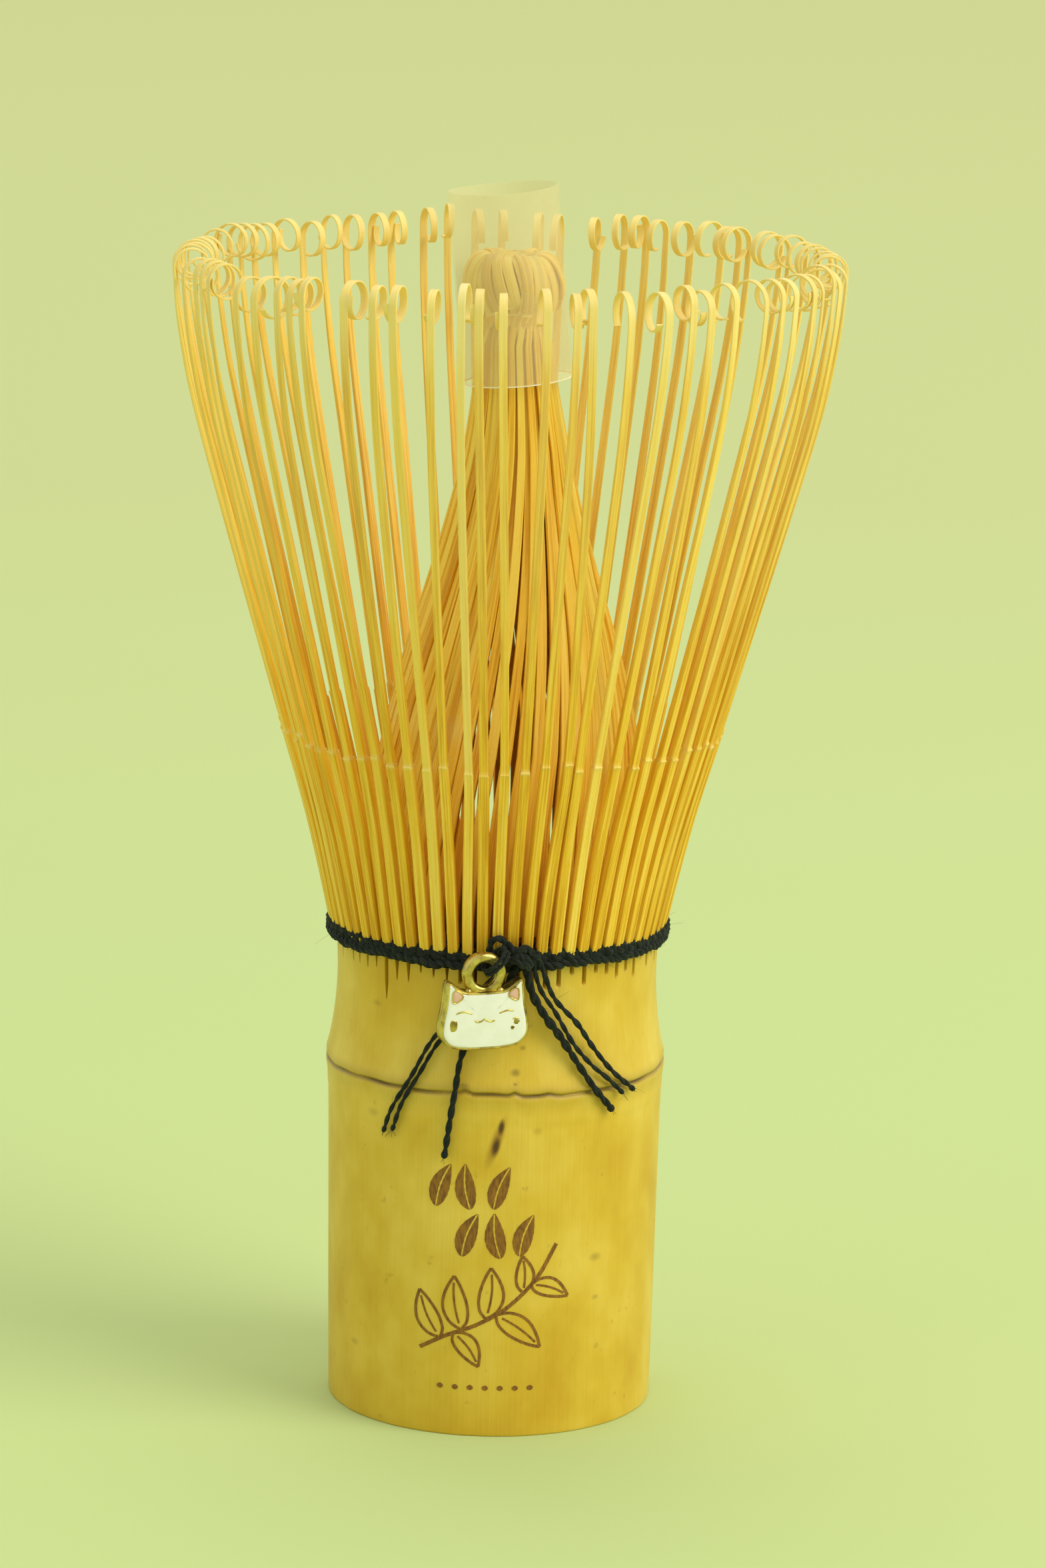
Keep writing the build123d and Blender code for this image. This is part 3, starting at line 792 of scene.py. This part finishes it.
def build_bulb_core():
    """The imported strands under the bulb's outer ones, drawn as one ribbed dome."""
    profile = smooth_curve(BULB_CORE, 40)
    a = circle(216)
    ribs = 1 + 0.035 * np.cos(36 * a)
    swirl = np.radians(30) * smoothstep(profile[:, 0], 96, 105)
    turn = a[None] + swirl[:, None]
    radius = profile[:, 1:] * ribs[None]
    z = np.broadcast_to(profile[:, :1], radius.shape)
    x = radius * np.cos(turn) + np.interp(profile[:, 0], *INNER_OFFSET)[:, None]
    shape = Shape()
    shape.add(np.stack([x, radius * np.sin(turn), z], -1), grid_faces(len(profile), len(a)),
              np.stack([3.5 * a[None] + 0 * z, radius, z], -1), 0.1, 0.3)
    shape.piece("bulb_packed_strands", inner_bamboo, "inner_bundle")


def build_inner():
    for group in range(6):
        shape = Shape()
        for k in range(12):
            inner_tine(shape, group * 12 + k)
        name = f"inner_tines_{group + 1}"
        shape.piece(f"split_{name}", inner_bamboo, "inner_bundle", [name])


# ---- threads ----
LACE_Z = 43.79
LACE_R = 15.2
INNER_LACE_R = 13.9


def wrap(shape, radius, z, thread, weave, lift, phase):
    """A closed wrap of twisted thread. Between tines it presses in by weave and rises by lift."""
    azimuth = np.linspace(0, 360, 1440, endpoint=False)
    between = (0.5 - 0.5 * np.cos(np.radians(azimuth * TINES))) ** 1.5
    a = np.radians(azimuth)
    slow = 0.08 * np.sin(5 * a + phase) + 0.06 * np.sin(11 * a + 2 * phase)
    slow = slow + 0.05 * np.sin(27 * a + 3 * phase) + 0.04 * np.sin(43 * a + phase)
    r = radius - weave * between + 0.05 * np.sin(9 * a + phase)
    out, _ = around(azimuth)
    path = out * r[:, None]
    path[:, 2] = z + lift * between + slow
    plied(shape, path, thread, 0.62, closed=True, reference=out, sides=7, phase=phase)
    return path


def build_lacing():
    shape = Shape()
    low = wrap(shape, LACE_R, LACE_Z + 0.02, 0.98, 0.03, 0.0, 0.4)
    high = wrap(shape, LACE_R + 0.02, LACE_Z + 0.72, 0.94, 0.16, 0.34, 2.1)
    wrap(shape, LACE_R - 0.12, LACE_Z + 0.4, 0.9, 0.0, 0.0, 4.0)
    hairs(shape, np.vstack([low, high]), 170)
    shape.piece("lacing_wraps", cotton, "handle", ["lacing_outer"])
    shape = Shape()
    wrap(shape, INNER_LACE_R, HANDLE_TOP + 0.36, 0.68, 0.0, 0.0, 1.0)
    shape.piece("lacing_between_rings", cotton, "handle", ["lacing_inner"])


THREAD_ENDS = [
    (0.42, [(1.05, -16.1, 44.6), (-1.6, -15.8, 41.4), (-5.3, -14.8, 37.2), (-7.3, -13.9, 33.4),
            (-9.1, -12.9, 30.0), (-9.8, -12.2, 27.7)]),
    (0.42, [(1.55, -16.1, 44.6), (-0.9, -15.7, 41.2), (-4.7, -14.7, 37.0), (-6.7, -14.2, 33.5),
            (-8.2, -13.5, 30.6), (-9.0, -12.8, 28.0)]),
    (0.6, [(2.05, -16.1, 44.6), (0.3, -15.5, 41.0), (-2.6, -15.25, 36.5), (-3.5, -15.5, 32.0),
           (-4.3, -15.1, 26.2)]),
    (0.65, [(2.6, -16.05, 44.7), (3.1, -15.8, 41.9), (4.3, -15.2, 39.5), (5.8, -14.5, 37.3),
            (7.6, -13.7, 34.4), (9.1, -13.0, 32.1), (10.6, -11.8, 30.0)]),
    (0.45, [(3.15, -16.05, 44.9), (3.9, -15.6, 42.0), (5.4, -14.9, 39.5), (7.0, -14.2, 36.6),
            (8.7, -13.2, 34.4), (10.1, -12.2, 33.0), (11.5, -11.1, 31.4)]),
    (0.5, [(3.55, -16.0, 45.4), (4.4, -15.6, 42.9), (5.3, -15.0, 40.8), (7.3, -14.0, 38.4),
           (8.7, -13.0, 36.1), (10.5, -11.8, 33.6), (12.5, -9.9, 31.4)]),
]


def build_thread_ends():
    """The six cut ends. Each has a knob and frayed fibres, and the fourth is thicker near the knot."""
    for number, (thread, points) in enumerate(THREAD_ENDS, 1):
        shape = Shape()
        path = smooth_curve(points, 130)
        swell = 1.0 + (0.25 if number == 4 else 0.0) * (1 - smoothstep(np.arange(130), 50, 80))
        plied(shape, path, thread * swell, 0.36, sides=8, phase=number * 1.3)
        tip, before = path[-1], path[-4]
        aim = unit(tip - before)
        knob = tip + aim * np.array([-0.45, -0.38, -0.2, 0.0, 0.14, 0.2])[:, None]
        tube(shape, knob, thread * np.array([0.2, 0.46, 0.56, 0.5, 0.3, 0.08]), 9)
        for _ in range(3):
            aside = aim + rng.normal(0, 0.45, 3)
            frayed = tip + aim * 0.1 + aside * np.linspace(0, 1, 5)[:, None] * rng.uniform(0.2, 0.6)
            tube(shape, frayed, 0.018, 3)
        hairs(shape, path[8:], 12, (0.3, 1.2))
        shape.piece(f"cotton_thread_end_{number}", cotton, "handle", [f"thread_end_{number}"])


def build_knot():
    """The knot: a bridge over the front tine, two crossed turns, and the strands that leave it."""
    shape = Shape()
    routes = [
        (1.1, [(0.7, -15.9, 45.3), (1.4, -16.2, 45.3), (2.2, -16.3, 45.0), (3.0, -16.0, 44.8),
               (3.6, -15.7, 44.9)]),
        (0.62, [(-0.7, -15.5, 44.6), (-0.62, -15.95, 45.5), (-0.45, -16.35, 46.35), (0.05, -16.5, 46.65),
                (0.55, -16.45, 46.45), (0.95, -16.3, 45.7), (1.4, -16.2, 44.9)]),
        (0.85, [(0.7, -16.3, 46.1), (1.3, -16.75, 45.9), (2.0, -16.9, 45.3), (2.7, -16.6, 44.7),
                (3.3, -16.0, 44.4)]),
        (0.8, [(1.0, -16.0, 44.3), (1.2, -16.7, 44.7), (1.7, -17.05, 45.3), (2.3, -16.8, 45.8),
               (2.9, -16.1, 45.5), (3.2, -15.7, 44.8)]),
        (0.8, [(0.6, -16.1, 45.2), (1.2, -16.8, 45.05), (1.9, -17.1, 44.7), (2.6, -16.8, 44.3),
               (3.0, -16.1, 44.0)]),
    ]
    anchors = []
    for k, (thread, points) in enumerate(routes):
        path = smooth_curve(points, 60)
        plied(shape, path, thread, 0.5, sides=8, phase=k * 1.7)
        anchors.append(path)
    hairs(shape, np.vstack(anchors), 22, (0.4, 1.4))
    shape.piece("cotton_knot", cotton, "handle", ["thread_knot"])


# ---- charm ----
RAISED = [(0, 0.02, 0.7), (0, 1, 0.7), (0, 1, 0.88)]  # the sides of a low gold dot or patch, as plate's rings
CHARM_EYE = np.array([-1.1, -18.0, 43.8])
CHARM_TURN = math.radians(18)
CHARM_X = np.array([math.cos(CHARM_TURN), math.sin(CHARM_TURN), 0])
CHARM_OUT = np.array([math.sin(CHARM_TURN), -math.cos(CHARM_TURN), 0])
HEAD_CORNERS = [(1.5, -6.75), (3.2, -6.5), (4.1, -5.5), (4.05, -4.2), (3.7, -2.6), (3.55, -0.6), (3.25, -0.4),
                (2.2, -1.25), (1.6, -1.42), (0.6, -1.45)]
CHARM_FRONT = 0.8
EYE_R = 2.0
EYE_HOLE_R = 1.05
LOOP_ANGLE = math.radians(45)
LOOP_R = 1.31


def charm_point(flat, depth):
    flat = np.asarray(flat, float)
    depth = np.broadcast_to(depth, flat.shape[:-1])
    return CHARM_EYE + flat[..., :1] * CHARM_X + depth[..., None] * CHARM_OUT + flat[..., 1:] * UP


def rounded(points, rounds=3):
    """Closed outline with its corners cut again and again."""
    p = np.asarray(points, float)
    for _ in range(rounds):
        q = np.roll(p, -1, 0)
        p = np.stack([0.78 * p + 0.22 * q, 0.22 * p + 0.78 * q], 1).reshape(-1, 2)
    return p


def shrunk(outline, inset):
    """The outline moved inward by inset."""
    tangent = unit(np.roll(outline, -1, 0) - np.roll(outline, 1, 0))
    inward = np.stack([-tangent[:, 1], tangent[:, 0]], 1)
    return outline + inward * inset


head = rounded(HEAD_CORNERS + [(-x, y) for x, y in reversed(HEAD_CORNERS)])
HEAD_MIDDLE = np.array([0.0, -4.2])


def plate(shape, outline, rings, pale=0.0, middle=HEAD_MIDDLE, dome=0.0):
    """A closed solid from rings of (inset, scale about the middle, depth). dome lifts its front's middle."""
    rows = []
    for inset, scale, depth in rings:
        flat = middle + (shrunk(outline, inset) - middle) * scale
        bulge = np.clip(1 - (flat[:, 0] / 4.3) ** 2 - ((flat[:, 1] + 4.0) / 3.6) ** 2, 0, 1)
        rows.append(charm_point(flat, depth + dome * bulge * (depth > CHARM_FRONT)))
    shape.add(np.array(rows), grid_faces(len(rows), len(outline)), pale=pale)


def gold_line(shape, points, width, lift, count=16):
    path = charm_point(smooth_curve(points, count), CHARM_FRONT + lift)
    ends = np.linspace(0, 1, count)
    radius = width / 2 * np.clip(np.minimum(ends, 1 - ends) * 8 + 0.35, 0, 1)
    tube(shape, path, radius, 8, np.broadcast_to(CHARM_OUT, path.shape))


def build_charm():
    base = Shape()
    plate(base, head, [(0.3, 0.02, -0.8), (0.3, 0.6, -0.8), (0.28, 1, -0.8), (0.1, 1, -0.74),
                       (0.0, 1, -0.58), (0.0, 1, -0.1), (0.03, 1, 0.0), (0.0, 1, 0.1), (0.0, 1, 0.6),
                       (0.05, 1, 0.74), (0.15, 1, 0.82), (0.25, 1, 0.8), (0.3, 1, 0.7), (0.31, 1, 0.5),
                       (0.31, 0.6, 0.5), (0.3, 0.02, 0.5)])
    turn = circle(72)
    half = [(1.06, -0.3), (1.16, -0.46), (1.34, -0.55), (1.66, -0.55), (1.87, -0.46), (1.97, -0.3)]
    section = half + [(EYE_R, 0.0)] + [(r, -d) for r, d in reversed(half)] + [(1.04, 0.0)]
    wobble = 1 + 0.012 * np.sin(3 * turn + 1) + 0.008 * np.sin(7 * turn)
    rows = []
    for angle, size in zip(turn, wobble):
        flat = np.array([(r * size * math.cos(angle), r * size * math.sin(angle)) for r, _ in section])
        rows.append(charm_point(flat, np.array([d for _, d in section])))
    base.add(np.array(rows), grid_faces(len(rows), len(section), closed=True))
    for x, y, size in ((-1.5, -1.42, 0.3), (1.45, -1.45, 0.32), (-0.75, -1.62, 0.26), (0.6, -1.64, 0.24)):
        blob = charm_point(np.array([(x, y)] * 7), np.linspace(-size, size, 7) + 0.45)
        tube(base, blob, size * np.sqrt(np.maximum(1 - np.linspace(-1, 1, 7) ** 2, 0.02)), 10,
             np.broadcast_to(CHARM_X, (7, 3)))
    base.piece("charm_casting", gold, "charm", ["charm_base"])

    face = Shape()
    front = [(0.36, scale, 0.84) for scale in (0.93, 0.8, 0.6, 0.35, 0.02)]
    plate(face, head, [(0.25, 0.02, 0.56), (0.25, 1, 0.56), (0.24, 1, 0.74), (0.27, 1, 0.8), (0.34, 1, 0.83),
                       *front], dome=0.1)
    face.piece("charm_enamel", white_enamel, "charm", ["charm_face"])

    marks = Shape()
    for side in (-1, 1):
        ear = rounded([(side * 3.1, -2.55), (side * 1.85, -1.8), (side * 3.0, -0.95)][::side], 2)
        pink = Shape()
        plate(pink, ear, [(0, 0.02, 0.7), (0, 0.9, 0.7), (0, 0.92, 0.88), (0, 0.8, 0.92), (0, 0.4, 0.94),
                          (0, 0.02, 0.945)], middle=ear.mean(0))
        name = "charm_ear_left" if side < 0 else "charm_ear_right"
        pink.piece(f"{name}_enamel", pink_enamel, "charm", [name])
        rim = charm_point(np.vstack([ear, ear[:1]]), 0.9)
        tube(marks, rim[:-1], 0.075, 8, np.broadcast_to(CHARM_OUT, (len(ear), 3)), closed=True)
    gold_line(marks, [(-2.75, -3.32), (-2.3, -3.17), (-1.8, -3.17), (-1.2, -3.4)], 0.17, 0.09)
    gold_line(marks, [(1.2, -3.45), (1.65, -3.3), (2.1, -3.2), (2.6, -3.28)], 0.17, 0.09)
    gold_line(marks, [(-1.04, -3.96), (-0.8, -4.1), (-0.45, -4.1), (-0.08, -3.9), (0.3, -4.1), (0.65, -4.12),
                      (0.95, -3.98)], 0.16, 0.13, 24)
    patch = rounded([(-3.25, -4.95), (-2.62, -4.88), (-2.55, -3.88), (-3.28, -3.84)], 2)
    plate(marks, patch, [*RAISED, (0, 0.9, 0.92), (0, 0.02, 0.93)],
          pale=0.3, middle=patch.mean(0))
    for x, y, size in ((2.85, -4.25, 0.3), (2.5, -4.8, 0.2)):
        ring = circle(20)
        dot = np.stack([x + size * np.cos(ring) * (1 + 0.2 * np.cos(5 * ring)), y + size * np.sin(ring)], 1)
        plate(marks, dot, [*RAISED, (0, 0.7, 0.93), (0, 0.02, 0.94)],
              pale=0.4, middle=np.array([x, y]))
    gold_line(marks, [(2.45, -4.0), (2.8, -3.95), (3.15, -4.0)], 0.13, 0.08, 8)
    marks.piece("charm_gold_lines", gold, "charm")


def build_charm_thread():
    """A closed loop of two strands through the charm's eye."""
    rim = (EYE_R + EYE_HOLE_R) / 2
    cos, sin = math.cos(LOOP_ANGLE), math.sin(LOOP_ANGLE)
    centre = charm_point(np.array([rim * cos, rim * sin]), 0.0)
    radial = cos * CHARM_X + sin * UP
    across = cos * UP - sin * CHARM_X
    shape = Shape()
    t = circle(150)
    for k, shift in enumerate((-0.2, 0.22)):
        out = np.cos(t)[:, None] * radial + np.sin(t)[:, None] * CHARM_OUT
        path = centre + (LOOP_R + 0.05 * np.sin(3 * t + k))[:, None] * out + shift * across
        plied(shape, path, 0.42, 0.9, closed=True, reference=out, sides=7, phase=k * 2.0)
    shape.piece("cotton_charm_loop", cotton, "charm_link", ["charm_thread"])


# ---- film sleeve ----
SLEEVE_FOOT = np.array([0.8, 0, 94.0])
SLEEVE_R = 4.93
SLEEVE_LENGTH = 17.2
SLEEVE_LEAN = math.radians(5.5)


def build_sleeve():
    """A thin tube of film that leans with the bulb: its outside going up, then its inside going down."""
    axis = np.array([-math.sin(SLEEVE_LEAN), 0, math.cos(SLEEVE_LEAN)])
    x_dir = np.array([math.cos(SLEEVE_LEAN), 0, math.sin(SLEEVE_LEAN)])
    y_dir = np.array([0, 1.0, 0])
    a = circle(120)
    heights = np.r_[0, 0.05, 0.14, 0.3, np.linspace(0.8, SLEEVE_LENGTH - 0.4, 26),
                    SLEEVE_LENGTH - 0.12, SLEEVE_LENGTH - 0.04, SLEEVE_LENGTH]
    rows, rim = [], []

    def ring(height, inset, mark):
        r = SLEEVE_R - inset + 0.05 * np.cos(2 * a + 0.6) + 0.025 * np.cos(3 * a + height * 0.25)
        h = height + 0.05 * np.sin(2 * a + 1) * (1 if height > 8 else 0.5)
        rows.append(SLEEVE_FOOT + r[:, None] * (np.cos(a)[:, None] * x_dir + np.sin(a)[:, None] * y_dir)
                    + h[:, None] * axis)
        rim.append(mark)

    # The bottom edge's rings are marked 1.0 for the film's painted highlight: whiter and more opaque.
    for run, inset, edge_inset in ((heights, 0.02, 0.06), (heights[::-1], 0.2, 0.16)):
        for h in run:
            ring(h, inset if 0.03 < h < SLEEVE_LENGTH - 0.03 else edge_inset, 1.0 if h < 0.1 else 0.0)
    shape = Shape()
    shape.add(np.array(rows), grid_faces(len(rows), len(a), closed=True), pale=np.repeat(rim, len(a)))
    shape.piece("film_tube", film, "sleeve", ["film_sleeve"])


build_handle()
build_mark()
build_outer()
build_inner()
build_bulb_core()
build_lacing()
build_thread_ends()
build_knot()
build_charm()
build_charm_thread()
build_sleeve()


# ---- floor, light and camera ----
def floor_material():
    n = Nodes("pale_paper")
    place = n.place()
    clouds = n.noise(place, 1.2, 2)
    paper = n.noise(place, 900, 2)
    apart = n.new("ShaderNodeSeparateXYZ")
    n.link(place, apart.inputs[0])
    # Painted light: the floor's colour gets lighter towards the back (far, farther), standing in for light
    # that the lamps don't give there.
    far = n.math("DIVIDE", n.math("SUBTRACT", apart.outputs[1], 0.15), 0.35, clamp=True)
    farther = n.math("DIVIDE", n.math("SUBTRACT", apart.outputs[1], 0.5), 1.6, clamp=True)
    near = n.mix(clouds, srgb(202, 219, 146), srgb(206, 220, 150))
    n.bump(paper, 0.04, 0.0001)
    n.set(Specular_IOR_Level=0.1)
    colour = n.mix(farther, n.mix(far, near, srgb(210, 217, 150)), srgb(246, 248, 172))
    return n.set(Base_Color=colour, Roughness=0.9)


bpy.ops.mesh.primitive_plane_add(size=12, location=(0, 0, 0))
floor = bpy.context.object
floor.name = "floor"
floor.data.materials.append(floor_material())

scene = bpy.context.scene
world = bpy.data.worlds.new("studio")
scene.world = world
world.use_nodes = True
world.node_tree.nodes["Background"].inputs["Color"].default_value = srgb(244, 250, 242)
world.node_tree.nodes["Background"].inputs["Strength"].default_value = 0.68


def area_light(name, location, aim, size, power, colour=(1, 1, 1)):
    data = bpy.data.lights.new(name, "AREA")
    data.shape = "DISK"
    data.size = size
    data.energy = power
    data.color = colour
    light = bpy.data.objects.new(name, data)
    light.location = location
    light.rotation_mode = "QUATERNION"
    light.rotation_quaternion = (Vector(aim) - Vector(location)).to_track_quat("-Z", "Y")
    scene.collection.objects.link(light)


area_light("key", (1.2, -0.6, 1.05), (0, 0, 0.05), 1.2, 15.0, (1.0, 0.97, 0.9))
area_light("top", (-0.1, 0.5, 1.6), (0, 0, 0.05), 1.0, 5.0, (1.0, 1.0, 0.97))
area_light("fill", (-1.1, -0.7, 0.9), (0, 0, 0.05), 1.2, 1.1, (0.98, 1.0, 0.96))

CAMERA_LENS = 139.87  # on a 36 mm high sensor
camera_data = bpy.data.cameras.new("camera")
camera_data.sensor_fit = "VERTICAL"
camera_data.sensor_height = 36
camera_data.sensor_width = 24
camera_data.lens = CAMERA_LENS
camera_data.clip_start = 0.01
camera_data.clip_end = 50
camera = bpy.data.objects.new("camera", camera_data)
scene.collection.objects.link(camera)
tilt = Matrix.Rotation(math.radians(90 - 12.24), 4, "X")
roll = Matrix.Rotation(math.radians(1.22), 4, "Z")
camera.matrix_world = Matrix.Translation((0.00198, -0.539, 0.174)) @ tilt @ roll
scene.camera = camera
scene.view_settings.view_transform = "Standard"
